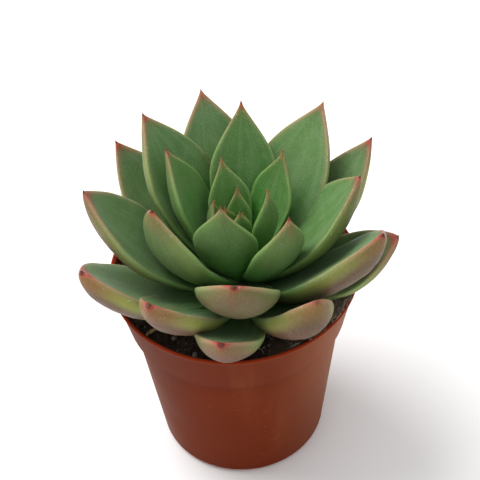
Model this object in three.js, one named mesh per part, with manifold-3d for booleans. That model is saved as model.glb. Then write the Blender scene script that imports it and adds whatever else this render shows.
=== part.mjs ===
// Potted succulent: a rosette of thick pointed leaves on a short stem, planted in a round nursery pot.
// Millimetres, +Z up. The origin is the centre of the pot's underside, on the surface it stands on.
// A leaf's heading is 0 toward -Y and grows toward +X, so 90 points along +X.
import * as THREE from "three";
import { LoftGeometry } from "three/addons/geometries/LoftGeometry.js";
import { mergeVertices } from "three/addons/utils/BufferGeometryUtils.js";
import Module from "manifold-3d";

// The pot: a tapering body, a small step out to a taller flaring collar, and a thin lip.
const POT_HEIGHT = 97;
const FOOT_RADIUS = 37;
const BODY_TOP_RADIUS = 45;
const COLLAR_HEIGHT = 24.5;
const COLLAR_STEP = 2.3;
const RIM_RADIUS = 52.5;
const LIP_HEIGHT = 2;
const LIP_OVERHANG = 0.7;
const POT_WALL = 1.2;
const POT_FLOOR = 1.6;
const FOOT_ROUNDING = 3.6;
const POT_SEGMENTS = 64;

// Round drainage holes through the floor, on one circle.
const DRAIN_COUNT = 6;
const DRAIN_RADIUS = 3.5;
const DRAIN_CIRCLE = 25;

// The soil fills the pot to a little below the rim.
const SOIL_DROP = 5.5;
const SOIL_TILT = 2.2;
const SOIL_UNEVENNESS = 0.6;
const SOIL_SEGMENTS = 36;

// The stem stands a little off the pot's axis.
const CROWN_X = 3;
const CROWN_Y = -5;
const STEM_RADIUS = 6;
const STEM_TOP_RADIUS = 2.2;
const STEM_HEIGHT = 20;
const STEM_ROOT = 8;
const STEM_SEGMENTS = 20;

// Leaf shape, as shares of each leaf's own length or width.
const ROSETTE_SCALE = 1;
const WIDEST_AT = 0.56;
const BASE_NARROWNESS = 0.4;
const UPPER_SWELL = 0.07;
const TROUGH = 0.1;
const TIP_RADIUS = 0.35;
const LEAF_STATIONS = 10;
const LEAF_SIDES = 10;

// Neighbouring pieces stop this far from each other.
const CLEARANCE = 0.3;

// The leaves, from the heart of the rosette outward. rise is the height of the leaf's base above
// the soil, start and tip are the slopes of its midrib in degrees at base and tip, roll turns it
// about its midrib, and keel is how deep its underside swells, as a share of its width. blunt is 1
// where a leaf's sides run straight to its tip, and less where they round in to it.
const LEAVES = [
  { heading: 16, rise: 20.5, start: 88, tip: 92, length: 24, width: 10, roll: 0, keel: 0.2, blunt: 1.2 },
  { heading: 150, rise: 20.5, start: 84, tip: 88, length: 18, width: 9, roll: 0, keel: 0.2, blunt: 1.2 },
  { heading: -138, rise: 19.5, start: 75, tip: 79, length: 21, width: 10, roll: 0, keel: 0.2, blunt: 1.2 },
  { heading: 179, rise: 17, start: 74, tip: 73, length: 29, width: 11, roll: 6, keel: 0.2, blunt: 1.25 },
  { heading: -98, rise: 18.5, start: 56, tip: 104, length: 31, width: 14, roll: 0, keel: 0.2, blunt: 1.2 },
  { heading: 66, rise: 16, start: 60, tip: 97, length: 44.5, width: 13, roll: -24, keel: 0.24, blunt: 1.35 },
  { heading: -164, rise: 15, start: 68, tip: 68, length: 42.5, width: 18.5, roll: 5, keel: 0.2, blunt: 1.32 },
  { heading: 131, rise: 14, start: 46, tip: 84, length: 50.5, width: 20, roll: 3, keel: 0.2, blunt: 1.35 },
  { heading: -24, rise: 9.5, start: 59, tip: 97, length: 52.5, width: 26, roll: 14, keel: 0.2, blunt: 1.3 },
  { heading: -112, rise: 10, start: 57, tip: 79, length: 64, width: 26, roll: 6, keel: 0.2, blunt: 1.22 },
  { heading: 38, rise: 9.5, start: 40, tip: 87, length: 60, width: 23.5, roll: -9, keel: 0.2, blunt: 1.2 },
  { heading: 174, rise: 8, start: 53, tip: 68, length: 68.5, width: 28, roll: 15, keel: 0.2, blunt: 1.15 },
  { heading: -64, rise: 7.5, start: 34, tip: 86, length: 65, width: 35, roll: 8, keel: 0.2, blunt: 0.95 },
  { heading: 86, rise: 6.5, start: 34, tip: 69, length: 71, width: 34, roll: -2, keel: 0.2, blunt: 1.0 },
  { heading: -127, rise: 7, start: 50, tip: 69, length: 78, width: 35, roll: 3, keel: 0.2, blunt: 1.05 },
  { heading: -4, rise: 5.5, start: 26, tip: 67, length: 63, width: 33.5, roll: -3, keel: 0.24, blunt: 0.8 },
  { heading: 136, rise: 6.5, start: 39, tip: 60, length: 76, width: 34, roll: 0, keel: 0.2, blunt: 1.05 },
  { heading: -166, rise: 5.5, start: 46, tip: 60, length: 76, width: 34, roll: 6, keel: 0.2, blunt: 1.05 },
  { heading: -84, rise: 3.5, start: 26, tip: 71, length: 84, width: 35, roll: -4, keel: 0.2, blunt: 0.92 },
  { heading: 61, rise: -0.5, start: 25, tip: 64, length: 82, width: 36, roll: -13, keel: 0.22, blunt: 0.8 },
  { heading: -127, rise: 3, start: 20, tip: 62, length: 76, width: 30, roll: -10, keel: 0.2, blunt: 1 },
  { heading: 115, rise: 3, start: 18, tip: 66, length: 79, width: 29, roll: 0, keel: 0.2, blunt: 1 },
  { heading: -40, rise: -1, start: 11, tip: 64, length: 67, width: 30, roll: 8, keel: 0.25, blunt: 0.72 },
  { heading: -67, rise: 0, start: 6, tip: 61, length: 78, width: 36, roll: 12, keel: 0.24, blunt: 0.74 },
  { heading: 85, rise: 0.5, start: -4, tip: 55, length: 69, width: 30, roll: 7, keel: 0.2, blunt: 0.78 },
  { heading: 32, rise: -0.5, start: 0, tip: 76, length: 65, width: 28, roll: -14, keel: 0.3, blunt: 0.72 },
  { heading: -10, rise: -2, start: 0, tip: 58, length: 60, width: 28, roll: -2, keel: 0.28, blunt: 0.75 },
  { heading: 152, rise: -0.5, start: 2, tip: 50, length: 64, width: 28, roll: 0, keel: 0.2, blunt: 1 },
  { heading: 178, rise: -0.5, start: 2, tip: 50, length: 62, width: 28, roll: 0, keel: 0.2, blunt: 1 },
  { heading: -150, rise: -0.5, start: 2, tip: 50, length: 64, width: 28, roll: 0, keel: 0.2, blunt: 1 },
];
const REACH_INNERMOST = 2.4;
const REACH_STEP = 0.35;
const REACH_OUTER = 5;

const MATERIALS = {
  pot: { color: 0xa4553a, roughness: 0.5, metalness: 0 },
  soil: { color: 0x3a3028, roughness: 0.95, metalness: 0 },
  stem: { color: 0x8a9a5c, roughness: 0.7, metalness: 0 },
  leaf: { color: 0x5d8a50, roughness: 0.55, metalness: 0 },
};

const SOIL_LEVEL = POT_HEIGHT - SOIL_DROP;
const COLLAR_BOTTOM = POT_HEIGHT - COLLAR_HEIGHT;

const wasm = await Module();
wasm.setup();
const degrees = THREE.MathUtils.degToRad;

// Turns a closed geometry into a solid that can be joined and cut.
function solidOf(geometry) {
  const bare = new THREE.BufferGeometry().setIndex(geometry.index);
  bare.setAttribute("position", geometry.getAttribute("position"));
  const merged = mergeVertices(bare, 1e-4);
  return new wasm.Manifold(
    new wasm.Mesh({
      numProp: 3,
      vertProperties: new Float32Array(merged.attributes.position.array),
      triVerts: new Uint32Array(merged.index.array),
    }),
  );
}

// Turns a solid back into a geometry.
function geometryOf(solid) {
  const mesh = solid.getMesh();
  const geometry = new THREE.BufferGeometry();
  geometry.setAttribute("position", new THREE.BufferAttribute(mesh.vertProperties, 3));
  geometry.setIndex(new THREE.BufferAttribute(mesh.triVerts, 1));
  geometry.computeVertexNormals();
  return geometry;
}

// The largest of the bodies that a cut leaves.
function largestBody(solid) {
  const bodies = solid.decompose();
  return bodies.reduce((most, body) => (body.volume() > most.volume() ? body : most));
}

// A solid turned about Z from a profile of [radius, height] points, listed upward outside.
function turned(profile, segments) {
  const geometry = new THREE.LatheGeometry(
    profile.map(([r, z]) => new THREE.Vector2(r, z)),
    segments,
  );
  return geometry.rotateX(Math.PI / 2);
}

// Points of a profile's rounded corner, from one angle to another.
function arc(radius, centreR, centreZ, from, to, steps) {
  const points = [];
  for (let i = 0; i <= steps; i += 1) {
    const angle = degrees(from + ((to - from) * i) / steps);
    points.push([centreR + radius * Math.cos(angle), centreZ + radius * Math.sin(angle)]);
  }
  return points;
}

// Outer radius of the pot's wall at a height on the body or on the collar, without the lip.
function bodyRadius(z) {
  return THREE.MathUtils.mapLinear(z, 0, COLLAR_BOTTOM, FOOT_RADIUS, BODY_TOP_RADIUS);
}

function collarRadius(z) {
  const bottom = BODY_TOP_RADIUS + COLLAR_STEP;
  return THREE.MathUtils.mapLinear(z, COLLAR_BOTTOM, POT_HEIGHT, bottom, RIM_RADIUS - LIP_OVERHANG);
}

// The pot's inside, from the axis at the floor up to a height, moved into the hollow by a gap.
function hollowProfile(gap, top) {
  const inset = POT_WALL + gap;
  const floor = POT_FLOOR + gap;
  const ledge = COLLAR_BOTTOM + POT_WALL + gap;
  return [
    [0, floor],
    [bodyRadius(floor) - inset - FOOT_ROUNDING / 2, floor],
    [bodyRadius(floor + FOOT_ROUNDING / 2) - inset, floor + FOOT_ROUNDING / 2],
    [bodyRadius(COLLAR_BOTTOM) - inset, ledge],
    [collarRadius(ledge) - inset, ledge + COLLAR_STEP / 2],
    [collarRadius(top) - inset, top],
  ];
}

function potSolid() {
  const lipBottom = POT_HEIGHT - LIP_HEIGHT;
  const lipRounding = 0.5;
  const foot = arc(FOOT_ROUNDING, FOOT_RADIUS - FOOT_ROUNDING, FOOT_ROUNDING, -90, 0, 4);
  const outside = [
    [0, 0],
    ...foot,
    [bodyRadius(COLLAR_BOTTOM), COLLAR_BOTTOM],
    [collarRadius(COLLAR_BOTTOM), COLLAR_BOTTOM + COLLAR_STEP / 2],
    [collarRadius(lipBottom), lipBottom],
    [RIM_RADIUS, lipBottom + lipRounding],
    ...arc(lipRounding, RIM_RADIUS - lipRounding, POT_HEIGHT - lipRounding, 0, 90, 2),
  ];
  const inside = hollowProfile(0, POT_HEIGHT).reverse();
  let pot = solidOf(turned([...outside, ...inside], POT_SEGMENTS));
  for (let i = 0; i < DRAIN_COUNT; i += 1) {
    const angle = ((i + 0.5) * 2 * Math.PI) / DRAIN_COUNT;
    const hole = new THREE.CylinderGeometry(DRAIN_RADIUS, DRAIN_RADIUS, 4 * POT_FLOOR, 20);
    hole.rotateX(Math.PI / 2);
    hole.translate(DRAIN_CIRCLE * Math.cos(angle), DRAIN_CIRCLE * Math.sin(angle), 0);
    pot = pot.subtract(solidOf(hole));
  }
  return pot;
}

// Height of the soil's uneven surface, which rises toward +X, above its mean level.
function soilBump(x, y) {
  const waves = Math.sin(x / 7.3) * Math.cos(y / 6.1) + Math.sin((x + 1.7 * y) / 11.9 + 1);
  return (SOIL_UNEVENNESS * waves) / 2 + (SOIL_TILT * x) / RIM_RADIUS;
}

function soilSolid() {
  const rings = 5;
  const sides = hollowProfile(CLEARANCE, SOIL_LEVEL);
  const edge = sides[sides.length - 1][0];
  const surface = [];
  for (let i = rings - 1; i >= 0; i -= 1) surface.push([(edge * i) / rings, SOIL_LEVEL]);
  const geometry = turned([...sides, ...surface], SOIL_SEGMENTS);
  const position = geometry.getAttribute("position");
  for (let i = 0; i < position.count; i += 1) {
    if (position.getZ(i) < SOIL_LEVEL - 0.01) continue;
    const [x, y] = [position.getX(i), position.getY(i)];
    const top = SOIL_LEVEL + soilBump(x, y);
    const spread = (collarRadius(top) - POT_WALL - CLEARANCE) / edge;
    position.setXYZ(i, x * spread, y * spread, top);
  }
  return solidOf(geometry);
}

// The stem, widened all round by a gap: a root collar in the soil, tapering to a rounded top.
function stemSolid(gap) {
  const foot = SOIL_LEVEL - STEM_ROOT - gap;
  const top = SOIL_LEVEL + STEM_HEIGHT + gap;
  const crown = STEM_TOP_RADIUS + gap;
  const geometry = turned(
    [
      [0, foot],
      [0.7 * STEM_RADIUS + gap, foot],
      [STEM_RADIUS + gap, foot + STEM_ROOT / 2],
      [STEM_RADIUS + gap, SOIL_LEVEL + STEM_HEIGHT / 4],
      [crown, top - crown / 2],
      [0.6 * crown, top - crown / 8],
      [0, top],
    ],
    STEM_SEGMENTS,
  );
  return solidOf(geometry.translate(CROWN_X, CROWN_Y, 0));
}

// Half-width along a leaf, from 0 at the tip (share 1) through the widest place to the base.
function breadth(share, blunt) {
  const fromTip = 1 - share;
  const rounded = 1 - WIDEST_AT;
  if (fromTip < rounded) return Math.sin((Math.PI / 2) * (fromTip / rounded) ** blunt);
  return 1 - (1 - BASE_NARROWNESS) * ((fromTip - rounded) / WIDEST_AT) ** 1.8;
}

// One leaf, swollen on all sides by a gap. Its midrib lies in the upright plane of its heading.
function leafSolid(leaf, rank, gap) {
  const heading = degrees(leaf.heading);
  const outward = new THREE.Vector3(Math.sin(heading), -Math.cos(heading), 0);
  const sideways = new THREE.Vector3(Math.cos(heading), Math.sin(heading), 0);
  const up = new THREE.Vector3(0, 0, 1);
  const length = leaf.length * ROSETTE_SCALE;
  const width = leaf.width * ROSETTE_SCALE;
  const reach = Math.min(REACH_OUTER, REACH_INNERMOST + REACH_STEP * rank);
  const midrib = new THREE.Vector3(CROWN_X, CROWN_Y, SOIL_LEVEL + leaf.rise);
  midrib.addScaledVector(outward, reach);
  const slopeAt = (share) => degrees(THREE.MathUtils.lerp(leaf.start, leaf.tip, share));
  const step = length / (LEAF_STATIONS - 1);
  const sections = [];
  for (let i = 0; i < LEAF_STATIONS; i += 1) {
    const share = i / (LEAF_STATIONS - 1);
    const slope = slopeAt(share);
    const along = outward.clone().multiplyScalar(Math.cos(slope)).addScaledVector(up, Math.sin(slope));
    const across = sideways.clone().applyAxisAngle(along, degrees(leaf.roll));
    const face = new THREE.Vector3().crossVectors(along, across);
    const half = breadth(share, leaf.blunt);
    const swell = Math.max(half, 0) ** 0.75;
    const halfWidth = Math.hypot(TIP_RADIUS, (width / 2) * half) + gap;
    const upper = Math.hypot(TIP_RADIUS, UPPER_SWELL * width * swell) + gap;
    const lower = Math.hypot(TIP_RADIUS, leaf.keel * width * swell) + gap;
    const endShift = i === 0 ? -gap : i === LEAF_STATIONS - 1 ? gap : 0;
    const ring = [];
    for (let j = 0; j < LEAF_SIDES; j += 1) {
      const angle = (2 * Math.PI * j) / LEAF_SIDES;
      const side = Math.cos(angle);
      const depth = Math.sin(angle);
      const lift = depth > 0 ? upper * depth : -lower * Math.abs(depth) ** 1.2;
      const trough = TROUGH * width * half * side * side;
      ring.push(
        midrib
          .clone()
          .addScaledVector(across, halfWidth * side)
          .addScaledVector(face, lift + trough)
          .addScaledVector(along, endShift),
      );
    }
    sections.push(ring);
    const middle = slopeAt(share + 0.5 / (LEAF_STATIONS - 1));
    midrib.addScaledVector(outward, step * Math.cos(middle)).addScaledVector(up, step * Math.sin(middle));
  }
  return solidOf(new LoftGeometry(sections, { capStart: true, capEnd: true }));
}

const group = new THREE.Group();

function addPiece(name, solid, look) {
  const mesh = new THREE.Mesh(geometryOf(solid), new THREE.MeshStandardMaterial(look));
  mesh.name = name;
  group.add(mesh);
}

const pot = potSolid();
// The room that leaves may grow in: the pot's hollow, and all that lies above its rim.
const aboveRim = POT_HEIGHT + CLEARANCE;
const skyTop = POT_HEIGHT + 200;
const hollow = [...hollowProfile(CLEARANCE, POT_HEIGHT + 2 * CLEARANCE), [0, POT_HEIGHT + 2 * CLEARANCE]];
const sky = [
  [0, aboveRim],
  [3 * RIM_RADIUS, aboveRim],
  [3 * RIM_RADIUS, skyTop],
  [0, skyTop],
];
const freeSpace = solidOf(turned(hollow, POT_SEGMENTS)).add(solidOf(turned(sky, POT_SEGMENTS)));
const stem = stemSolid(0);
const aroundStem = stemSolid(CLEARANCE);

// Each leaf gives way to the stem, the pot and the leaves nearer the heart than itself.
const aroundLeaves = LEAVES.map((leaf, rank) => leafSolid(leaf, rank, CLEARANCE));
const leaves = LEAVES.map((leaf, rank) => {
  let solid = leafSolid(leaf, rank, 0).intersect(freeSpace).subtract(aroundStem);
  for (const inner of aroundLeaves.slice(0, rank)) solid = solid.subtract(inner);
  return largestBody(solid);
});

// The soil gives way to everything that grows out of it.
let soil = soilSolid().subtract(aroundStem);
for (const leaf of aroundLeaves) soil = soil.subtract(leaf);

addPiece("pot", pot, MATERIALS.pot);
addPiece("soil", largestBody(soil), MATERIALS.soil);
addPiece("stem", stem, MATERIALS.stem);
leaves.forEach((leaf, rank) => {
  const name = `leaf_${String(rank + 1).padStart(2, "0")}`;
  addPiece(name, leaf, MATERIALS.leaf);
});

export default group;
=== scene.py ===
"""Potted succulent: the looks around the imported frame, in metres, +Z up."""
import math
import random

import bmesh
import bpy
from mathutils import Euler, Matrix, Vector, noise


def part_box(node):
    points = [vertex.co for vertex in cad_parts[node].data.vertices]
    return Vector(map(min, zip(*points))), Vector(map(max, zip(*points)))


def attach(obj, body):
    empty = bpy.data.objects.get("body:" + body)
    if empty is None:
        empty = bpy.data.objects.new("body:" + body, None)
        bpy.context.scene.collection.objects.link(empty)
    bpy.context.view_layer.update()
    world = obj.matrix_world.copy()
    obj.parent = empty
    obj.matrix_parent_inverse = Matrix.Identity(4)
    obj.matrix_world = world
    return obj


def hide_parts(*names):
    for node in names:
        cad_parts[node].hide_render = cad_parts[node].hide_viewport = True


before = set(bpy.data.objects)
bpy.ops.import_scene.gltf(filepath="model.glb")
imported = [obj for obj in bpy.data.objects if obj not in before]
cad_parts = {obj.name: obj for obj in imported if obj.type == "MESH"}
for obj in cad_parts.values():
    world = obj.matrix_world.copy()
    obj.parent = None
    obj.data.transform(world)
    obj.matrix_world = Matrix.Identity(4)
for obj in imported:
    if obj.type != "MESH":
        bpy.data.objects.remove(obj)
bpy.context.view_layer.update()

MM = 0.001

# ---- Sizes taken from the frame --------------------------------------------------------------
POT_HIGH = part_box("pot")[1]
STEM_LOW, STEM_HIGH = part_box("stem")
POT_HEIGHT = POT_HIGH[2]
RIM_RADIUS = POT_HIGH[0]
SOIL_DROP = 5.5 * MM
SOIL_LEVEL = POT_HEIGHT - SOIL_DROP
CROWN = Vector(((STEM_LOW[0] + STEM_HIGH[0]) / 2, (STEM_LOW[1] + STEM_HIGH[1]) / 2, SOIL_LEVEL))

# ---- The pot, as in the CAD ------------------------------------------------------------------
FOOT_RADIUS = 37 * MM
BODY_TOP_RADIUS = 45 * MM
COLLAR_HEIGHT = 24.5 * MM
COLLAR_STEP = 2.3 * MM
LIP_HEIGHT = 2 * MM
LIP_OVERHANG = 0.7 * MM
POT_WALL = 1.2 * MM
POT_FLOOR = 1.6 * MM
FOOT_ROUNDING = 3.6 * MM
POT_SEGMENTS = 192
DRAIN_COUNT = 6
DRAIN_RADIUS = 3.5 * MM
DRAIN_CIRCLE = 25 * MM
COLLAR_BOTTOM = POT_HEIGHT - COLLAR_HEIGHT

# ---- The leaves, as in the CAD, from the heart outward ----------------------------------------
# heading: degrees from the front, toward +X; rise: mm above the soil; start, tip: midrib slopes;
# length, width: mm; roll: degrees about the midrib; keel: underside depth as a share of the width;
# blunt: 1 for straight sides at the tip, less for rounder ones, more for hollow ones.
LEAF_FIELDS = ("heading", "rise", "start", "tip", "length", "width", "roll", "keel", "blunt")
LEAVES = (
    (16, 20.5, 88, 92, 24, 10, 0, 0.2, 1.2),
    (150, 20.5, 84, 88, 18, 9, 0, 0.2, 1.2),
    (-138, 19.5, 75, 79, 21, 10, 0, 0.2, 1.2),
    (179, 17, 74, 73, 29, 11, 6, 0.2, 1.25),
    (-98, 18.5, 56, 104, 31, 14, 0, 0.2, 1.2),
    (66, 16, 60, 97, 44.5, 13, -24, 0.24, 1.35),
    (-164, 15, 68, 68, 42.5, 18.5, 5, 0.2, 1.32),
    (131, 14, 46, 84, 50.5, 20, 3, 0.2, 1.35),
    (-24, 9.5, 59, 97, 52.5, 26, 14, 0.2, 1.3),
    (-112, 10, 57, 79, 64, 26, 6, 0.2, 1.22),
    (38, 9.5, 40, 87, 60, 23.5, -9, 0.2, 1.2),
    (174, 8, 53, 68, 68.5, 28, 15, 0.2, 1.15),
    (-64, 7.5, 34, 86, 65, 35, 8, 0.2, 0.95),
    (86, 6.5, 34, 69, 71, 34, -2, 0.2, 1.0),
    (-127, 7, 50, 69, 78, 35, 3, 0.2, 1.05),
    (-4, 5.5, 26, 67, 63, 33.5, -3, 0.24, 0.8),
    (136, 6.5, 39, 60, 76, 34, 0, 0.2, 1.05),
    (-166, 5.5, 46, 60, 76, 34, 6, 0.2, 1.05),
    (-84, 3.5, 26, 71, 84, 35, -4, 0.2, 0.92),
    (61, -0.5, 25, 64, 82, 36, -13, 0.22, 0.8),
    (-127, 3, 20, 62, 76, 30, -10, 0.2, 1),
    (115, 3, 18, 66, 79, 29, 0, 0.2, 1),
    (-40, -1, 11, 64, 67, 30, 8, 0.25, 0.72),
    (-67, 0, 6, 61, 78, 36, 12, 0.24, 0.74),
    (85, 0.5, -4, 55, 69, 30, 7, 0.2, 0.78),
    (32, -0.5, 0, 76, 65, 28, -14, 0.3, 0.72),
    (-10, -2, 0, 58, 60, 28, -2, 0.28, 0.75),
    (152, -0.5, 2, 50, 64, 28, 0, 0.2, 1),
    (178, -0.5, 2, 50, 62, 28, 0, 0.2, 1),
    (-150, -0.5, 2, 50, 64, 28, 0, 0.2, 1),
)
# The widest place as a share of the length; the base, the upper face's swell and the trough between
# the margins as shares of the width.
WIDEST_AT = 0.56
BASE_NARROWNESS = 0.4
UPPER_SWELL = 0.075
TROUGH = 0.1
RIDGE = 0.012
# How far from the axis a leaf starts, in mm, by its number from the heart.
REACH_INNERMOST = 2.4
REACH_STEP = 0.35
REACH_OUTER = 5
# The hard point at the tip, in mm.
SPINE_LENGTH = 1.5
SPINE_RADIUS = 0.5
# How finely a leaf is meshed, and how far its ring's points are drawn toward the margins.
LEAF_STATIONS = 64
LEAF_SIDES = 52
MARGIN_PULL = 0.38

# By leaf number: how yellow the underside is below the margin, and how red the tip. A leaf that
# isn't here takes its yellow from its place in the rosette and the usual red.
GOLD = {16: 0.15, 20: 0.6, 21: 0.8, 22: 0.8, 23: 0.9, 24: 0.95, 25: 0.6, 26: 0.7, 27: 0.3}
RED = {1: 0.1, 2: 0.1, 3: 0.1, 4: 0.1, 5: 0.1, 6: 0.1, 7: 0.1, 8: 0.15, 9: 0.3, 10: 0.4, 11: 0.9,
       12: 0.35, 13: 0.6, 14: 0.6, 16: 0.7, 17: 0.2, 18: 0.2, 19: 0.6, 23: 0.75, 24: 0.6, 26: 0.15,
       27: 0.7}
USUAL_GOLD = 0.35
USUAL_RED = 0.5

# Brown marks, by leaf number: share along, side, and how far each reaches both ways.
SCARS = {20: ((0.47, 0.9, 0.03, 0.12),), 23: ((0.38, 0.2, 0.07, 0.5),)}

# ---- Pieces on the soil ----------------------------------------------------------------------
# How much higher the soil lies toward +X in mm, its gap to the pot, and how finely it is meshed.
SOIL_TILT = 4.4
SOIL_GAP = 0.3 * MM
SOIL_RINGS = 110
SOIL_SEGMENTS = 320
# How far inside the rim the loose pieces stay in mm, and how many there are at most.
SCATTER_INSET = 4.2
CRUMB_COUNT = 900
FIBRE_COUNT = 480
# Loose coir heaped over the lip at the right: its stretch of the rim in degrees from +X, how far
# inside the rim it begins in mm, and counts.
LITTER_FROM = -66
LITTER_TO = 14
LITTER_DEPTH = 7.5
LITTER_FIBRES = 900
LITTER_CRUMBS = 160
# x, y, heading, length and width of each dry scrap of leaf, in mm and degrees.
SCRAPS = (
    (-31, -30, 150, 8, 2.0),
    (-33, -27, 60, 7, 1.6),
    (-38, -17, -60, 6, 1.8),
    (30, -34, 20, 8, 1.6),
    (41, 18, 100, 9, 2.0),
    (12, 42, 200, 8, 1.8),
)


def srgb(r, g, b):
    """A colour picked as 0-255 screen values, as the linear values that shaders take."""
    def linear(v):
        v /= 255
        return v / 12.92 if v <= 0.04045 else ((v + 0.055) / 1.055) ** 2.4
    return (linear(r), linear(g), linear(b), 1.0)


def smooth(low, high, value):
    t = min(1.0, max(0.0, (value - low) / (high - low)))
    return t * t * (3 - 2 * t)


# ---- Colours ---------------------------------------------------------------------------------
# Deep green of the leaf bases and the heart, darkened in part as painted shade.
LEAF_BASE_GREEN_AND_SHADE = srgb(56, 120, 36)
LEAF_YOUNG = srgb(78, 125, 56)
LEAF_OLD = srgb(90, 117, 80)
LEAF_FRESH = srgb(92, 126, 60)
LEAF_PALE = srgb(124, 150, 108)
LEAF_BACK = srgb(92, 126, 70)
LEAF_FLUSH = srgb(112, 72, 56)
LEAF_ROSE = srgb(150, 112, 92)
LEAF_DUSK = srgb(84, 84, 48)
LEAF_UMBER = srgb(98, 58, 46)
LEAF_GOLD = srgb(146, 150, 72)
LEAF_AMBER = srgb(138, 104, 58)
LEAF_BLUSH = srgb(134, 80, 58)
LEAF_RIM = srgb(136, 168, 100)
LEAF_RIM_TIP = srgb(176, 126, 104)
LEAF_TIP = srgb(162, 44, 50)
LEAF_SPINE = srgb(92, 18, 22)
LEAF_SCAR = srgb(100, 66, 44)
LEAF_BLOOM = srgb(176, 194, 156)
# White of the painted glints at the leaf margins.
LEAF_GLINT = srgb(232, 236, 224)
LEAF_SHADE = srgb(62, 92, 46)
POT_DEEP = srgb(101, 34, 9)
POT_BROWN = srgb(109, 42, 16)
POT_CHALK = srgb(136, 74, 46)
POT_GLOW = srgb(132, 44, 18)
POT_SHADE = srgb(84, 26, 6)
POT_PAINTED_LIGHT = srgb(150, 94, 68)
POT_DARK = srgb(70, 28, 18)
SOIL_BLACK = srgb(32, 26, 21)
SOIL_BROWN = srgb(66, 50, 38)
SOIL_GREY = srgb(130, 121, 110)
SOIL_DRY = srgb(164, 148, 128)
SOIL_PALE = srgb(178, 166, 148)
SCRAP_DARK = srgb(128, 104, 62)
SCRAP_PALE = srgb(190, 170, 116)
STEM_GREEN = srgb(120, 132, 84)
STEM_BROWN = srgb(112, 88, 62)


# ---- Material helpers ------------------------------------------------------------------------
class Graph:
    """Short calls for building one material's nodes."""

    def __init__(self, name):
        self.material = bpy.data.materials.new(name)
        self.material.use_nodes = True
        self.nodes = self.material.node_tree.nodes
        self.links = self.material.node_tree.links
        self.nodes.clear()
        self.shader = self.add("ShaderNodeBsdfPrincipled")
        output = self.add("ShaderNodeOutputMaterial")
        self.links.new(self.shader.outputs[0], output.inputs["Surface"])
        self.place = self.add("ShaderNodeTexCoord").outputs["Object"]

    def add(self, kind, **settings):
        node = self.nodes.new(kind)
        for key, value in settings.items():
            setattr(node, key, value)
        return node

    def feed(self, socket, value):
        if isinstance(value, bpy.types.NodeSocket):
            self.links.new(value, socket)
        else:
            socket.default_value = value

    def math(self, operation, a, b=0.0):
        node = self.add("ShaderNodeMath", operation=operation)
        self.feed(node.inputs[0], a)
        self.feed(node.inputs[1], b)
        return node.outputs[0]

    def times(self, *factors):
        """The product of two or more values."""
        result = factors[0]
        for factor in factors[1:]:
            result = self.math("MULTIPLY", result, factor)
        return result

    def fade(self, value, low, high, start=0.0, end=1.0):
        """Runs smoothly from start to end as value goes from low to high."""
        node = self.add("ShaderNodeMapRange", interpolation_type="SMOOTHSTEP")
        for socket, number in zip(node.inputs[:5], (value, low, high, start, end)):
            self.feed(socket, number)
        return node.outputs[0]

    def mix(self, factor, a, b):
        """Colour a, giving way to colour b as factor goes from 0 to 1."""
        node = self.add("ShaderNodeMix", data_type="RGBA")
        self.feed(node.inputs[0], factor)
        self.feed(node.inputs[6], a)
        self.feed(node.inputs[7], b)
        return node.outputs[2]

    def noise(self, scale, detail=2.0, stretch=None, roughness=0.5, at=None):
        node = self.add("ShaderNodeTexNoise")
        node.inputs["Scale"].default_value = scale
        node.inputs["Detail"].default_value = detail
        node.inputs["Roughness"].default_value = roughness
        place = at or self.place
        if stretch:
            mapping = self.add("ShaderNodeMapping")
            mapping.inputs["Scale"].default_value = stretch
            self.links.new(place, mapping.inputs["Vector"])
            place = mapping.outputs[0]
        self.links.new(place, node.inputs["Vector"])
        return node.outputs[0]

    def attribute(self, name):
        return self.add("ShaderNodeAttribute", attribute_name=name).outputs["Fac"]

    def bump(self, height, distance, strength=1.0):
        node = self.add("ShaderNodeBump")
        node.inputs["Distance"].default_value = distance
        node.inputs["Strength"].default_value = strength
        self.links.new(height, node.inputs["Height"])
        self.links.new(node.outputs[0], self.shader.inputs["Normal"])

    def set(self, **values):
        for key, value in values.items():
            self.feed(self.shader.inputs[key.replace("_", " ")], value)


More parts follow.
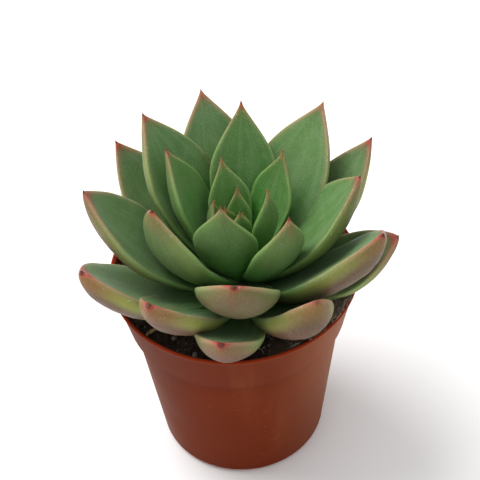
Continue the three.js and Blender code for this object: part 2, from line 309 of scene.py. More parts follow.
# ---- Leaf skin -------------------------------------------------------------------------------
def leaf_material():
    """Waxy leaf skin, painted by how far a point is from the base, the margin and the tip."""
    g = Graph("leaf_skin")
    along, side, under = g.attribute("along"), g.attribute("side"), g.attribute("under")
    margin_mm, tip_mm = g.attribute("margin_mm"), g.attribute("tip_mm")
    age, tone, scar = g.attribute("age"), g.attribute("tone"), g.attribute("scar")
    gold, red = g.attribute("gold"), g.attribute("red")
    cloud, patch, speck = g.noise(50, 3), g.noise(260, 3), g.noise(2400, 1)
    lengthways = g.add("ShaderNodeCombineXYZ")
    g.feed(lengthways.inputs[0], g.times(side, 5.0))
    g.feed(lengthways.inputs[1], g.times(along, 1.2))
    g.feed(lengthways.inputs[2], g.times(tone, 40.0))
    streak = g.noise(1.0, 3, at=lengthways.outputs[0])
    share = g.math("ADD", along, g.math("SUBTRACT", cloud, 0.5))

    # The upper face: deep green at the base, partly painted shade where the leaves crowd together, greyer
    # with age, with a rosy edge and end.
    young = g.mix(g.fade(share, 0.1, 0.75), LEAF_BASE_GREEN_AND_SHADE, LEAF_YOUNG)
    old = g.mix(g.fade(share, 0.05, 0.6), LEAF_BASE_GREEN_AND_SHADE, LEAF_OLD)
    upper = g.mix(age, young, old)
    upper = g.mix(g.fade(cloud, 0.35, 0.7, 0.0, 0.5), upper, LEAF_FRESH)
    upper = g.mix(g.fade(streak, 0.4, 0.75, 0.0, 0.3), upper, LEAF_PALE)
    near_tip = g.times(g.fade(tip_mm, 9.0, 2.0), g.fade(age, 0.4, 0.9, 0.0, 0.7))
    upper = g.mix(near_tip, upper, LEAF_FLUSH)
    edge = g.times(g.fade(margin_mm, 3.4, 0.3), g.fade(share, 0.3, 0.8), g.fade(age, 0.2, 0.7, 0.1, 0.75))
    upper = g.mix(edge, upper, LEAF_ROSE)

    # The underside: flushed brown toward the end and along the keel on the older leaves.
    # Deep green at the base of the underside too, partly painted shade.
    back = g.mix(g.fade(share, 0.0, 0.7), LEAF_BASE_GREEN_AND_SHADE, LEAF_BACK)
    flush = g.times(g.fade(share, 0.15, 0.75), g.fade(age, 0.25, 0.75, 0.05, 0.9))
    back = g.mix(g.times(flush, g.fade(margin_mm, 0.0, 7.0, 0.5, 1.0)), back, LEAF_FLUSH)
    umber = g.times(g.fade(margin_mm, 2.5, 8.0), g.fade(age, 0.4, 0.9, 0.0, 0.85))
    back = g.mix(umber, back, LEAF_UMBER)
    dusk = g.fade(g.math("ADD", streak, cloud), 0.9, 1.3)
    back = g.mix(g.times(dusk, g.fade(age, 0.2, 0.7, 0.2, 0.7)), back, LEAF_DUSK)
    body = g.mix(under, upper, back)

    # A yellow-green band below the margin, turning amber near the tip, with amber flecks.
    band = g.times(g.fade(margin_mm, 10.0, 3.5), g.fade(under, 0.0, 0.5), gold, g.fade(along, 0.2, 0.65))
    body = g.mix(band, body, g.mix(g.fade(tip_mm, 18.0, 5.0), LEAF_GOLD, LEAF_AMBER))
    fleck = g.times(g.fade(g.noise(420, 2), 0.6, 0.72), g.fade(age, 0.7, 1.0))
    body = g.mix(g.times(fleck, g.fade(under, 0.0, 1.0, 0.0, 0.35)), body, LEAF_AMBER)

    # The end: a blush, a red stripe up the keel, a pale line at the margin and the dark-red spine.
    warm = g.fade(g.math("ADD", tip_mm, g.times(cloud, 8.0)), 16.0, 5.0)
    body = g.mix(g.times(warm, red, 0.55), body, LEAF_BLUSH)
    stripe = g.times(g.fade(g.math("ABSOLUTE", side), 0.09, 0.02), g.fade(tip_mm, 15.0, 3.0))
    body = g.mix(g.times(stripe, under, g.fade(red, 0.5, 1.0, 0.0, 0.6)), body, LEAF_TIP)
    line = g.times(g.fade(margin_mm, 2.2, 0.1), g.fade(gold, 0.5, 0.9, 1.0, 0.5))
    line_colour = g.mix(g.fade(along, 0.7, 0.95), LEAF_RIM, LEAF_RIM_TIP)
    body = g.mix(g.times(line, g.fade(along, 0.05, 0.4, 0.1, 0.5)), body, line_colour)
    tip_zone = g.fade(g.math("ADD", tip_mm, g.times(under, 1.6)), 5.2, 2.0)
    body = g.mix(g.times(tip_zone, g.fade(red, 0.0, 0.6, 0.25, 0.85)), body, LEAF_TIP)
    spine = g.times(g.fade(tip_mm, 1.9, 0.9), g.fade(red, 0.1, 0.4, 0.5, 1.0))
    body = g.mix(spine, body, LEAF_SPINE)
    body = g.mix(scar, body, LEAF_SCAR)

    # Mottling, bloom and a few painted glints, white dots near the margins.
    pale = g.times(g.fade(patch, 0.4, 0.8), g.fade(under, 0.0, 1.0, 0.2, 0.1))
    body = g.mix(pale, body, LEAF_PALE)
    body = g.mix(g.fade(speck, 0.55, 0.75, 0.0, 0.22), body, LEAF_BLOOM)
    body = g.mix(g.fade(speck, 0.45, 0.25, 0.0, 0.25), body, LEAF_SHADE)
    # Painted glints: white dots along the margins toward the tip.
    grains = g.times(g.fade(g.noise(1300, 1), 0.71, 0.77), g.fade(margin_mm, 3.0, 0.5))
    body = g.mix(g.times(grains, g.fade(along, 0.4, 0.8, 0.0, 0.55)), body, LEAF_GLINT)

    skin_gloss, spine_gloss = g.fade(patch, 0.3, 0.7, 0.44, 0.58), g.fade(tip_mm, 1.2, 3.2, 0.2, 0.6)
    g.set(Base_Color=body, Roughness=g.math("MINIMUM", skin_gloss, spine_gloss))
    g.set(Subsurface_Weight=0.3, Subsurface_Scale=0.006, Subsurface_Radius=(0.7, 1.0, 0.35))
    g.set(Specular_IOR_Level=0.2, Sheen_Weight=0.03, Sheen_Roughness=0.5)
    fine = g.math("ADD", g.times(speck, 0.3), g.times(streak, 0.8))
    g.bump(g.math("ADD", patch, fine), 0.0003, 0.4)
    return g.material


def leaf_breadth(share, blunt):
    """Half-width along a leaf, from 1 at its widest to 0 at its tip."""
    from_tip = 1 - share
    rounded = 1 - WIDEST_AT
    if from_tip < rounded:
        return math.sin(math.pi / 2 * (from_tip / rounded) ** blunt)
    return 1 - (1 - BASE_NARROWNESS) * ((from_tip - rounded) / WIDEST_AT) ** 1.8


def section_angles():
    """Angles round a leaf's section, closest together at its two margins."""
    even = [2 * math.pi * j / LEAF_SIDES for j in range(LEAF_SIDES)]
    return [angle - MARGIN_PULL * math.sin(2 * angle) for angle in even]


def leaf_mesh(name, rank, leaf):
    """A closed leaf around its curved midrib, with the attributes that its skin is painted by."""
    heading = math.radians(leaf["heading"])
    outward = Vector((math.sin(heading), -math.cos(heading), 0))
    sideways = Vector((math.cos(heading), math.sin(heading), 0))
    up = Vector((0, 0, 1))
    length, width = leaf["length"], leaf["width"]
    reach = min(REACH_OUTER, REACH_INNERMOST + REACH_STEP * rank)
    midrib = CROWN / MM + outward * reach + up * leaf["rise"]
    seed = Vector((rank * 7.31, rank * 3.17, 5.5))
    spine_from = 1 - SPINE_LENGTH / length
    scars = SCARS.get(rank + 1, ())

    def slope(share):
        return math.radians(leaf["start"] + (leaf["tip"] - leaf["start"]) * share)

    shares = [1 - (1 - i / (LEAF_STATIONS - 1)) ** 1.35 for i in range(LEAF_STATIONS)]
    names = ("along", "side", "under", "margin_mm", "tip_mm", "scar")
    vertices, values = [], {key: [] for key in names}
    for i, share in enumerate(shares):
        if i:
            middle, step = slope((share + shares[i - 1]) / 2), (share - shares[i - 1]) * length
            midrib = midrib + (outward * math.cos(middle) + up * math.sin(middle)) * step
        along = outward * math.cos(slope(share)) + up * math.sin(slope(share))
        across = Matrix.Rotation(math.radians(leaf["roll"]), 3, along) @ sideways
        face = along.cross(across)
        half = leaf_breadth(min(1.0, share / (1 - 0.5 * (1 - spine_from))), leaf["blunt"])
        swell = half ** 0.75
        left = max(0.0, 1 - share) / (1 - spine_from)
        spine = SPINE_RADIUS * min(1.0, 0.1 + left) ** 0.8
        half_width = math.hypot(spine, width / 2 * half)
        upper = math.hypot(spine, UPPER_SWELL * width * swell)
        lower = math.hypot(spine, leaf["keel"] * width * swell)
        edge_lift = TROUGH * width * half
        ridge = RIDGE * width * smooth(0.4, 0.9, share) * half
        for angle in section_angles():
            side, depth = math.cos(angle), math.sin(angle)
            centre = math.exp(-(side / 0.3) ** 2)
            if depth > 0:
                lift = upper * depth ** 0.85 - 0.4 * ridge * centre
            else:
                lift = -lower * abs(depth) ** 0.9 - ridge * centre
            lift += edge_lift * side * side
            point = midrib + across * (half_width * side) + face * lift
            wave = noise.noise(point * 0.07 + seed) * 0.5 + noise.noise(point * 0.2 + seed) * 0.16
            vertices.append((point + face * wave * swell) * MM)
            values["along"].append(share)
            values["side"].append(side)
            values["under"].append(smooth(0.1, -0.35, depth))
            values["margin_mm"].append((1 - abs(side)) * half_width + abs(lift - edge_lift) * abs(side))
            values["tip_mm"].append((1 - share) * length)
            damage = [smooth(1.0, 0.5, math.hypot((share - at) / long, (side - off) / wide))
                      for at, off, long, wide in scars if depth < 0.3]
            values["scar"].append(max(damage, default=0.0))
    faces = []
    for i in range(LEAF_STATIONS - 1):
        for j in range(LEAF_SIDES):
            a, b = i * LEAF_SIDES + j, i * LEAF_SIDES + (j + 1) % LEAF_SIDES
            faces.append((a, b, b + LEAF_SIDES, a + LEAF_SIDES))
    faces.append(tuple(reversed(range(LEAF_SIDES))))
    last = (LEAF_STATIONS - 1) * LEAF_SIDES
    faces.append(tuple(range(last, last + LEAF_SIDES)))
    mesh = bpy.data.meshes.new(name)
    mesh.from_pydata(vertices, [], faces)
    values["age"] = [smooth(4, 24, rank)] * len(vertices)
    values["tone"] = [random.random()] * len(vertices)
    values["gold"] = [GOLD.get(rank + 1, USUAL_GOLD * smooth(7, 14, rank))] * len(vertices)
    values["red"] = [RED.get(rank + 1, USUAL_RED)] * len(vertices)
    for key, numbers in values.items():
        mesh.attributes.new(key, "FLOAT", "POINT").data.foreach_set("value", numbers)
    mesh.shade_smooth()
    return mesh


def add_piece(name, mesh, material, slot, *nodes):
    """A visible piece of the object: it rides on the root and may stand for CAD nodes."""
    piece = bpy.data.objects.new(name, mesh)
    bpy.context.scene.collection.objects.link(piece)
    mesh.materials.append(material)
    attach(piece, "root")
    if nodes:
        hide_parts(*nodes)
    return piece


def add_leaves():
    random.seed(11)
    skin = leaf_material()
    for rank, row in enumerate(LEAVES):
        name = f"leaf_{rank + 1:02d}"
        leaf = dict(zip(LEAF_FIELDS, row))
        add_piece(f"{name}_blade", leaf_mesh(f"{name}_blade", rank, leaf), skin, "leaf", name)


# ---- Pot -------------------------------------------------------------------------------------
def pot_material():
    """Terracotta-coloured plastic, chalky in places: painted light on the +X side, painted shade on the
    -X side and toward the bottom, painted shade and dark scuffs under the collar, a painted glow at the
    lip and foot.
    """
    g = Graph("pot_plastic")
    place = g.add("ShaderNodeSeparateXYZ")
    g.links.new(g.place, place.inputs[0])
    height, side = place.outputs["Z"], place.outputs["X"]
    cloud, grain = g.noise(34, 4), g.noise(1100, 2)
    drawn = g.noise(70, 4, stretch=(1, 1, 0.1))
    colour = g.mix(g.fade(cloud, 0.3, 0.75), POT_DEEP, POT_BROWN)
    colour = g.mix(g.fade(drawn, 0.5, 0.85, 0.0, 0.35), colour, POT_CHALK)
    # Painted light on the +X side and painted shade on the -X side.
    colour = g.mix(g.fade(side, 0.008, 0.05, 0.0, 0.85), colour, POT_PAINTED_LIGHT)
    colour = g.mix(g.fade(side, -0.01, -0.045, 0.0, 0.8), colour, POT_SHADE)
    # Painted shade: the body darker toward the bottom.
    colour = g.mix(g.fade(height, COLLAR_BOTTOM + 0.001, 0.012, 0.0, 0.5), colour, POT_DEEP)
    # Painted glow: a brighter orange-red band at the lip and another at the foot.
    colour = g.mix(g.fade(height, POT_HEIGHT - 0.0011, POT_HEIGHT - 0.0004), colour, POT_GLOW)
    colour = g.mix(g.fade(height, 0.003, 0.0008), colour, POT_GLOW)
    # A dark band round the collar's foot: painted shade under the step, with dark scuffs.
    seam = g.math("ABSOLUTE", g.math("SUBTRACT", height, COLLAR_BOTTOM + 0.0002))
    collar_shade_and_scuffs = g.times(g.fade(seam, 0.0028, 0.0004), g.fade(g.noise(90, 3), 0.35, 0.65, 0.3, 0.65))
    colour = g.mix(collar_shade_and_scuffs, colour, POT_DARK)
    colour = g.mix(g.fade(grain, 0.66, 0.76, 0.0, 0.4), colour, POT_DARK)
    dust = g.times(g.fade(g.noise(380, 2), 0.62, 0.72), g.fade(cloud, 0.5, 0.7), 0.5)
    colour = g.mix(dust, colour, POT_CHALK)
    g.set(Base_Color=colour, Roughness=g.fade(cloud, 0.3, 0.7, 0.42, 0.55))
    g.set(Specular_IOR_Level=0.06, IOR=1.25)
    g.set(Sheen_Weight=0.08, Sheen_Roughness=0.45, Sheen_Tint=(0.85, 0.55, 0.36, 1))
    g.bump(g.math("ADD", grain, g.times(drawn, 2.0)), 0.0001, 0.3)
    return g.material


def body_radius(z):
    return FOOT_RADIUS + (BODY_TOP_RADIUS - FOOT_RADIUS) * z / COLLAR_BOTTOM


def collar_radius(z):
    low, high = BODY_TOP_RADIUS + COLLAR_STEP, RIM_RADIUS - LIP_OVERHANG
    return low + (high - low) * (z - COLLAR_BOTTOM) / COLLAR_HEIGHT


def arc(radius, centre_r, centre_z, start, end, steps):
    """Points of a profile's rounded corner, from one angle to another, in degrees."""
    points = []
    for i in range(steps + 1):
        angle = math.radians(start + (end - start) * i / steps)
        points.append((centre_r + radius * math.cos(angle), centre_z + radius * math.sin(angle)))
    return points


def stretch(start, end, steps):
    """Points between two profile points, without the ends."""
    (r0, z0), (r1, z1) = start, end
    return [(r0 + (r1 - r0) * i / steps, z0 + (z1 - z0) * i / steps) for i in range(1, steps)]


def turned_mesh(name, profile, segments, shape=None):
    """A closed mesh from a profile of (radius, height) points that starts and ends on the axis."""
    vertices, rings = [(0, 0, profile[0][1])], profile[1:-1]
    for r, z in rings:
        for i in range(segments):
            angle = 2 * math.pi * i / segments
            vertices.append((r * math.cos(angle), r * math.sin(angle), z))
    vertices.append((0, 0, profile[-1][1]))
    faces, top = [], len(vertices) - 1
    for k in range(len(rings) - 1):
        for i in range(segments):
            a, b = 1 + k * segments + i, 1 + k * segments + (i + 1) % segments
            faces.append((a, b, b + segments, a + segments))
    last = top - segments
    for i in range(segments):
        faces.append((0, 1 + (i + 1) % segments, 1 + i))
        faces.append((top, last + i, last + (i + 1) % segments))
    if shape:
        vertices = [shape(Vector(v)) for v in vertices]
    mesh = bpy.data.meshes.new(name)
    mesh.from_pydata(vertices, [], faces)
    return mesh


def pot_profile():
    """The pot's section, up the outside from the middle of its underside and down the inside."""
    lip_bottom = POT_HEIGHT - LIP_HEIGHT
    lip_round = 0.8 * MM
    step_round = 0.6 * MM
    body_top = (body_radius(COLLAR_BOTTOM), COLLAR_BOTTOM)
    collar_foot = (collar_radius(COLLAR_BOTTOM), COLLAR_BOTTOM + COLLAR_STEP / 2 + step_round)
    collar_top = (collar_radius(lip_bottom), lip_bottom - 0.3 * MM)
    foot = arc(FOOT_ROUNDING, FOOT_RADIUS - FOOT_ROUNDING, FOOT_ROUNDING, -90, 0, 10)
    inside_top = (collar_radius(POT_HEIGHT) - POT_WALL, POT_HEIGHT - 0.9 * MM)
    ledge = (collar_radius(COLLAR_BOTTOM) - POT_WALL, COLLAR_BOTTOM + POT_WALL + COLLAR_STEP / 2)
    inside_foot = (body_radius(0) - POT_WALL, POT_FLOOR + FOOT_ROUNDING / 2)
    return [
        (0, 0), (12 * MM, 0), (24 * MM, 0), *foot,
        *stretch(foot[-1], body_top, 24), body_top,
        *arc(step_round, collar_foot[0] - step_round, collar_foot[1], -80, 0, 6),
        *stretch(collar_foot, collar_top, 10), collar_top,
        (RIM_RADIUS - lip_round * 0.5, lip_bottom),
        *arc(lip_round, RIM_RADIUS - lip_round, POT_HEIGHT - lip_round, -45, 90, 8),
        inside_top, ledge,
        (body_radius(COLLAR_BOTTOM) - POT_WALL, COLLAR_BOTTOM), inside_foot,
        (inside_foot[0] - FOOT_ROUNDING / 2, POT_FLOOR), (24 * MM, POT_FLOOR), (0, POT_FLOOR),
    ]


def cut_holes(piece):
    """Cuts the drainage holes through the pot's floor and keeps the result as its mesh."""
    drill = bmesh.new()
    for i in range(DRAIN_COUNT):
        angle = (i + 0.5) * 2 * math.pi / DRAIN_COUNT
        at = Vector((DRAIN_CIRCLE * math.cos(angle), DRAIN_CIRCLE * math.sin(angle), 0))
        bmesh.ops.create_cone(drill, cap_ends=True, segments=40, radius1=DRAIN_RADIUS,
                              radius2=DRAIN_RADIUS, depth=6 * MM, matrix=Matrix.Translation(at))
    mesh = bpy.data.meshes.new("drill")
    drill.to_mesh(mesh)
    drill.free()
    cutter = bpy.data.objects.new("drill", mesh)
    bpy.context.scene.collection.objects.link(cutter)
    cut = piece.modifiers.new("holes", "BOOLEAN")
    cut.operation, cut.solver, cut.object = "DIFFERENCE", "EXACT", cutter
    bpy.context.view_layer.update()
    graph = bpy.context.evaluated_depsgraph_get()
    result = bpy.data.meshes.new_from_object(piece.evaluated_get(graph))
    piece.modifiers.clear()
    piece.data = result
    bpy.data.objects.remove(cutter)


def add_pot():
    mesh = turned_mesh("pot_shell", pot_profile(), POT_SEGMENTS)
    piece = add_piece("pot_shell", mesh, pot_material(), "pot", "pot")
    cut_holes(piece)
    piece.data.shade_smooth()
    piece.data.set_sharp_from_angle(angle=math.radians(35))


# ---- Soil ------------------------------------------------------------------------------------
def soil_material():
    """Peat and coir, drier and greyer toward +X, where each crumb and fibre has its own tone."""
    g = Graph("soil_peat")
    tone = g.attribute("tone")
    crumb, fibre = g.noise(500, 5, roughness=0.7), g.noise(700, 3, stretch=(1, 0.15, 1))
    place = g.add("ShaderNodeSeparateXYZ")
    g.links.new(g.place, place.inputs[0])
    dryness = g.math("ADD", place.outputs["X"], g.times(g.noise(60, 2), 0.04))
    colour = g.mix(g.fade(crumb, 0.3, 0.7), SOIL_BLACK, SOIL_BROWN)
    colour = g.mix(g.fade(dryness, 0.03, 0.065, 0.0, 0.8), colour, SOIL_DRY)
    colour = g.mix(g.fade(fibre, 0.62, 0.75, 0.0, 0.7), colour, SOIL_GREY)
    colour = g.mix(g.fade(tone, 0.55, 0.8, 0.0, 0.9), colour, SOIL_GREY)
    colour = g.mix(g.fade(tone, 0.86, 0.93), colour, SOIL_PALE)
    g.set(Base_Color=colour, Roughness=g.fade(crumb, 0.3, 0.7, 0.75, 0.97), Specular_IOR_Level=0.3)
    g.bump(g.math("ADD", crumb, fibre), 0.0006, 0.8)
    return g.material


def soil_height(x, y):
    """Height of the crumbly surface above its mean level, in mm, at a place in mm."""
    place = Vector((x, y, 3.7))
    lumps = noise.noise(place * 0.11) * 1.1 + noise.noise(place * 0.35) * 0.8
    crumbs = noise.noise(place * 1.1) * 0.6 + noise.noise(place * 2.3) * 0.3
    return lumps + crumbs - 0.2 + SOIL_TILT * smooth(-10, 45, x + 0.3 * y)


def give_tones(mesh, tones):
    """Stores each point's tone, by which the peat's material colours it."""
    mesh.attributes.new("tone", "FLOAT", "POINT").data.foreach_set("value", tones)


def soil_mesh():
    """The soil: it fills the pot inside a small gap, and only its top is uneven."""
    edge = collar_radius(SOIL_LEVEL) - POT_WALL - SOIL_GAP
    floor = POT_FLOOR + SOIL_GAP
    foot = body_radius(0) - POT_WALL - FOOT_ROUNDING / 2 - SOIL_GAP
    neck = COLLAR_BOTTOM + SOIL_GAP
    shoulder = collar_radius(neck) - POT_WALL - SOIL_GAP - 0.4 * MM
    top = [(edge * (SOIL_RINGS - i) / SOIL_RINGS, SOIL_LEVEL) for i in range(SOIL_RINGS)]
    profile = [
        (0, floor), (foot, floor), (foot + FOOT_ROUNDING / 2, floor + FOOT_ROUNDING / 2),
        (body_radius(neck) - POT_WALL - SOIL_GAP, neck),
        (shoulder, neck + POT_WALL + COLLAR_STEP / 2),
        *top, (0, SOIL_LEVEL),
    ]

    def roughen(v):
        if v.z < SOIL_LEVEL - 1e-6:
            return v
        return Vector((v.x, v.y, v.z + soil_height(v.x / MM, v.y / MM) * MM))

    mesh = turned_mesh("soil_bed", profile, SOIL_SEGMENTS, roughen)
    give_tones(mesh, [0.4] * len(mesh.vertices))
    mesh.shade_smooth()
    return mesh


def scatter(most):
    """A random place on the soil, out to a share of its radius, in mm."""
    r = (RIM_RADIUS / MM - SCATTER_INSET) * most * math.sqrt(random.random())
    angle = random.uniform(0, 2 * math.pi)
    x, y = r * math.cos(angle), r * math.sin(angle)
    return Vector((x, y, SOIL_LEVEL / MM + soil_height(x, y)))


def crumb_mesh():
    """Loose grit and crumbs on the soil, each a small dented lump."""
    ball = bmesh.new()
    bmesh.ops.create_icosphere(ball, subdivisions=2, radius=1)
    shape = [v.co.copy() for v in ball.verts]
    skin = [[v.index for v in f.verts] for f in ball.faces]
    ball.free()
    vertices, faces, tones = [], [], []
    for _ in range(CRUMB_COUNT):
        size = random.uniform(0.35, 0.8) if random.random() < 0.75 else random.uniform(0.8, 1.5)
        turn = Euler([random.uniform(0, 6.3) for _ in range(3)]).to_matrix()
        squash = Vector((1, random.uniform(0.6, 1), random.uniform(0.4, 0.8))) * size
        at = scatter(0.97) + Vector((0, 0, 0.25 * size))
        seed = Vector([random.uniform(0, 90) for _ in range(3)])
        tone, first = random.random() * 0.84, len(vertices)
        for co in shape:
            dent = 1 + 0.55 * noise.noise(co * 1.6 + seed)
            vertices.append((turn @ (co * dent * squash) + at) * MM)
            tones.append(tone)
        faces += [[first + k for k in face] for face in skin]
    mesh = bpy.data.meshes.new("soil_crumbs")
    mesh.from_pydata(vertices, [], faces)
    give_tones(mesh, tones)
    return mesh


def strand(vertices, faces, points, radius, flat=1.0):
    """Adds a closed thin tube along points, pointed at both ends."""
    sides, first = 6, len(vertices)
    for i, at in enumerate(points):
        ahead = points[min(i + 1, len(points) - 1)] - points[max(i - 1, 0)]
        across = ahead.cross(Vector((0.1, 0.2, 1))).normalized()
        above = across.cross(ahead).normalized()
        r = radius * (0.3 + 0.7 * math.sin(math.pi * i / (len(points) - 1)))
        for j in range(sides):
            angle = 2 * math.pi * j / sides
            vertices.append((at + across * r * math.cos(angle) + above * r * flat * math.sin(angle)) * MM)
    for i in range(len(points) - 1):
        for j in range(sides):
            a, b = first + i * sides + j, first + i * sides + (j + 1) % sides
            faces.append((a, a + sides, b + sides, b))
    end = first + (len(points) - 1) * sides
    faces.append(tuple(range(first, first + sides)))
    faces.append(tuple(reversed(range(end, end + sides))))


def fibre_mesh():
    """Coir fibres lying on the soil."""
    vertices, faces, tones = [], [], []
    for _ in range(FIBRE_COUNT):
        at, heading = scatter(0.93), random.uniform(0, 2 * math.pi)
        bend, length = random.uniform(-0.35, 0.35), random.uniform(3, 11)
        lift, steps = random.uniform(0.1, 1.3), 9
        points = []
        for i in range(steps):
            share = i / (steps - 1)
            arch = Vector((0, 0, lift * math.sin(math.pi * share) - 0.25))
            points.append(at + arch)
            at = at + Vector((math.cos(heading), math.sin(heading), 0)) * length / steps
            at.z = SOIL_LEVEL / MM + soil_height(at.x, at.y) + 0.1
            heading += bend
        if max(p.xy.length for p in points) > RIM_RADIUS / MM - 4:
            continue
        strand(vertices, faces, points, random.uniform(0.08, 0.18))
        tones += [random.uniform(0.3, 1.0)] * (len(vertices) - len(tones))
    mesh = bpy.data.meshes.new("soil_fibres")
    mesh.from_pydata(vertices, [], faces)
    give_tones(mesh, tones)
    mesh.shade_smooth()
    return mesh


def litter_place():
    """A random place on the heap, thickest in the middle of its stretch: radius and angle."""
    share = (random.random() + random.random()) / 2
    angle = math.radians(LITTER_FROM + (LITTER_TO - LITTER_FROM) * share)
    reach = RIM_RADIUS / MM - 0.3 - 2.2 * abs(2 * share - 1) * random.random()
    return random.uniform(RIM_RADIUS / MM - LITTER_DEPTH, reach), angle


def litter_height(x, y):
    """Height of the heap in mm: the soil's own level inside the pot, rising to lie on the lip."""
    soil = SOIL_LEVEL / MM + soil_height(x, y)
    lip = POT_HEIGHT / MM + 0.15
    return soil + (max(lip, soil) - soil) * smooth(-5.0, -1.8, math.hypot(x, y) - RIM_RADIUS / MM)


def litter_mesh():
    """Fibres and crumbs of coir that spill onto the pot's lip."""
    vertices, faces, tones = [], [], []
    for _ in range(LITTER_FIBRES):
        radius, angle = litter_place()
        heading, bend = random.uniform(0, 2 * math.pi), random.uniform(-0.4, 0.4)
        length, lift, steps = random.uniform(2, 7), random.uniform(0.1, 1.0), 8
        at, points = Vector((radius * math.cos(angle), radius * math.sin(angle), 0)), []
        for i in range(steps):
            at.z = litter_height(at.x, at.y) + lift * math.sin(math.pi * i / (steps - 1))
            points.append(at.copy())
            at = at + Vector((math.cos(heading), math.sin(heading), 0)) * length / steps
            heading += bend
        if max(p.xy.length for p in points) > RIM_RADIUS / MM + 0.2:
            continue
        strand(vertices, faces, points, random.uniform(0.07, 0.15))
        tones += [random.uniform(0.5, 1.0)] * (len(vertices) - len(tones))
    for _ in range(LITTER_CRUMBS):
        radius, angle = litter_place()
        x, y, size = radius * math.cos(angle), radius * math.sin(angle), random.uniform(0.2, 0.5)
        lump = []
        for _ in range(4):
            off_x, off_y = random.uniform(-size, size), random.uniform(-size, size)
            lump.append(Vector((x + off_x, y + off_y, 0)))
        for point in lump:
            point.z = litter_height(x, y) + random.uniform(0, size)
        strand(vertices, faces, lump, size)
        tones += [random.uniform(0.1, 0.8)] * (len(vertices) - len(tones))
    mesh = bpy.data.meshes.new("rim_litter")
    mesh.from_pydata(vertices, [], faces)
    give_tones(mesh, tones)
    mesh.shade_smooth()
    return mesh


def scrap_material():
    """Straw-coloured dry leaf."""
    g = Graph("dry_scrap")
    grain = g.noise(900, 3, stretch=(1, 0.3, 1))
    g.set(Base_Color=g.mix(g.fade(grain, 0.3, 0.7), SCRAP_DARK, SCRAP_PALE), Specular_IOR_Level=0.2)
    g.set(Roughness=g.fade(grain, 0.3, 0.7, 0.7, 0.9))
    g.bump(grain, 0.0003, 0.6)
    return g.material


def scrap_mesh():
    """Shrivelled scraps of old leaf lying between the lowest leaves and the rim."""
    vertices, faces = [], []
    for x, y, heading, length, width in SCRAPS:
        turn, steps, points = math.radians(heading), 12, []
        for i in range(steps):
            share = i / (steps - 1)
            curl = 1.4 * math.sin(math.pi * share) + 0.5 * math.sin(7 * share + x)
            ahead = Vector((math.cos(turn + share), math.sin(turn + share), 0)) * length * share
            ground = SOIL_LEVEL / MM + soil_height(x, y) + 0.5
            points.append(Vector((x, y, ground + curl)) + ahead)
        strand(vertices, faces, points, width / 2, 0.3)
    mesh = bpy.data.meshes.new("dry_scraps")
    mesh.from_pydata(vertices, [], faces)
    mesh.shade_smooth()
    return mesh


def stem_material():
    """Green bark with brown rings and pale grains."""
    g = Graph("stem_bark")
    ring, grain = g.noise(160, 3, stretch=(0.3, 0.3, 2.2)), g.noise(900, 3)
    colour = g.mix(g.fade(ring, 0.35, 0.65), STEM_GREEN, STEM_BROWN)
    g.set(Base_Color=g.mix(g.fade(grain, 0.55, 0.8, 0.0, 0.4), colour, SOIL_PALE))
    g.set(Roughness=g.fade(grain, 0.3, 0.7, 0.65, 0.85))
    g.bump(g.math("ADD", ring, g.times(grain, 0.4)), 0.0008, 0.7)
    return g.material


def stem_mesh():
    """The short stem, ringed by the scars of fallen leaves."""
    low, high = STEM_LOW[2], STEM_HIGH[2]
    foot, crown = (STEM_HIGH[0] - STEM_LOW[0]) / 2 - 0.15 * MM, 2 * MM
    profile, steps = [(0, low)], 60
    for i in range(steps + 1):
        share = i / steps
        taper = foot + (crown - foot) * smooth(0.35, 1.0, share)
        ends = min(1.0, 0.7 + 3 * share, 6 * (1 - share) + 0.25)
        profile.append((taper * ends * (1 + 0.02 * math.sin(share * 70)), low + (high - low) * share))
    profile.append((0, high))
    return turned_mesh("stem_core", profile, 48, lambda v: v + Vector((CROWN.x, CROWN.y, 0)))


def add_soil():
    random.seed(5)
    peat = soil_material()
    add_piece("soil_bed", soil_mesh(), peat, "soil", "soil")
    add_piece("soil_crumbs", crumb_mesh(), peat, "soil")
    add_piece("soil_fibres", fibre_mesh(), peat, "soil")
    add_piece("rim_litter", litter_mesh(), peat, "soil")
    add_piece("dry_scraps", scrap_mesh(), scrap_material(), "soil")
    stem = add_piece("stem_core", stem_mesh(), stem_material(), "stem", "stem")
    stem.data.shade_smooth()


# ---- Stage, light and camera -----------------------------------------------------------------
# The camera looks this many degrees below level and is rolled about its line of sight.
CAMERA_TILT = 45.54
CAMERA_ROLL = -3.5
CAMERA_PLACE = (0.00316, -0.3941, 0.514)
# Millimetres, as on a lens.
CAMERA_LENS = 102.34
SENSOR_WIDTH = 36
WORLD_STRENGTH = 0.78
KEY_PLACE = (-0.5, 0.26, 1.22)
KEY_SIZE = 0.9
KEY_ENERGY = 15.5
FLOOR_REACH = 3.0


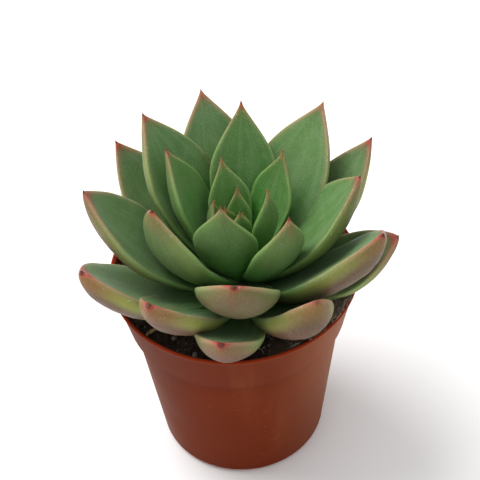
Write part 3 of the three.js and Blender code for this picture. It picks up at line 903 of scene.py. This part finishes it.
def stage_material():
    g = Graph("stage_white")
    g.set(Base_Color=g.mix(g.noise(4, 2), (0.9, 0.9, 0.9, 1), (0.93, 0.93, 0.93, 1)), Roughness=0.9)
    g.set(Specular_IOR_Level=0.1)
    return g.material


def add_stage():
    mesh = bpy.data.meshes.new("floor")
    corners = [(x * FLOOR_REACH, y * FLOOR_REACH, 0) for x, y in ((-1, -1), (1, -1), (1, 1), (-1, 1))]
    mesh.from_pydata(corners, [], [(0, 1, 2, 3)])
    mesh.materials.append(stage_material())
    floor = bpy.data.objects.new("floor", mesh)
    bpy.context.scene.collection.objects.link(floor)


def add_light(name, at, target, size, energy):
    data = bpy.data.lights.new(name, "AREA")
    data.shape = "DISK"
    data.size = size
    data.energy = energy
    light = bpy.data.objects.new(name, data)
    light.location = at
    light.rotation_euler = (Vector(target) - Vector(at)).to_track_quat("-Z", "Y").to_euler()
    bpy.context.scene.collection.objects.link(light)


def add_lights():
    world = bpy.data.worlds.new("studio")
    world.use_nodes = True
    world.node_tree.nodes["Background"].inputs["Color"].default_value = (1, 1, 1, 1)
    world.node_tree.nodes["Background"].inputs["Strength"].default_value = WORLD_STRENGTH
    bpy.context.scene.world = world
    add_light("key", KEY_PLACE, (0, 0, POT_HEIGHT), KEY_SIZE, KEY_ENERGY)
    bpy.context.scene.view_settings.view_transform = "Standard"


def add_camera():
    tilt, roll = math.radians(CAMERA_TILT), math.radians(CAMERA_ROLL)
    right, forward = Vector((1, 0, 0)), Vector((0, math.cos(tilt), -math.sin(tilt)))
    up = right.cross(forward)
    across = math.cos(roll) * right + math.sin(roll) * up
    above = math.cos(roll) * up - math.sin(roll) * right
    data = bpy.data.cameras.new("camera")
    data.sensor_width = SENSOR_WIDTH
    data.lens = CAMERA_LENS
    camera = bpy.data.objects.new("camera", data)
    turn = Matrix((across, above, -forward)).transposed().to_4x4()
    camera.matrix_world = Matrix.Translation(CAMERA_PLACE) @ turn
    bpy.context.scene.collection.objects.link(camera)
    bpy.context.scene.camera = camera


add_camera()
add_stage()
add_lights()
add_pot()
add_soil()
add_leaves()
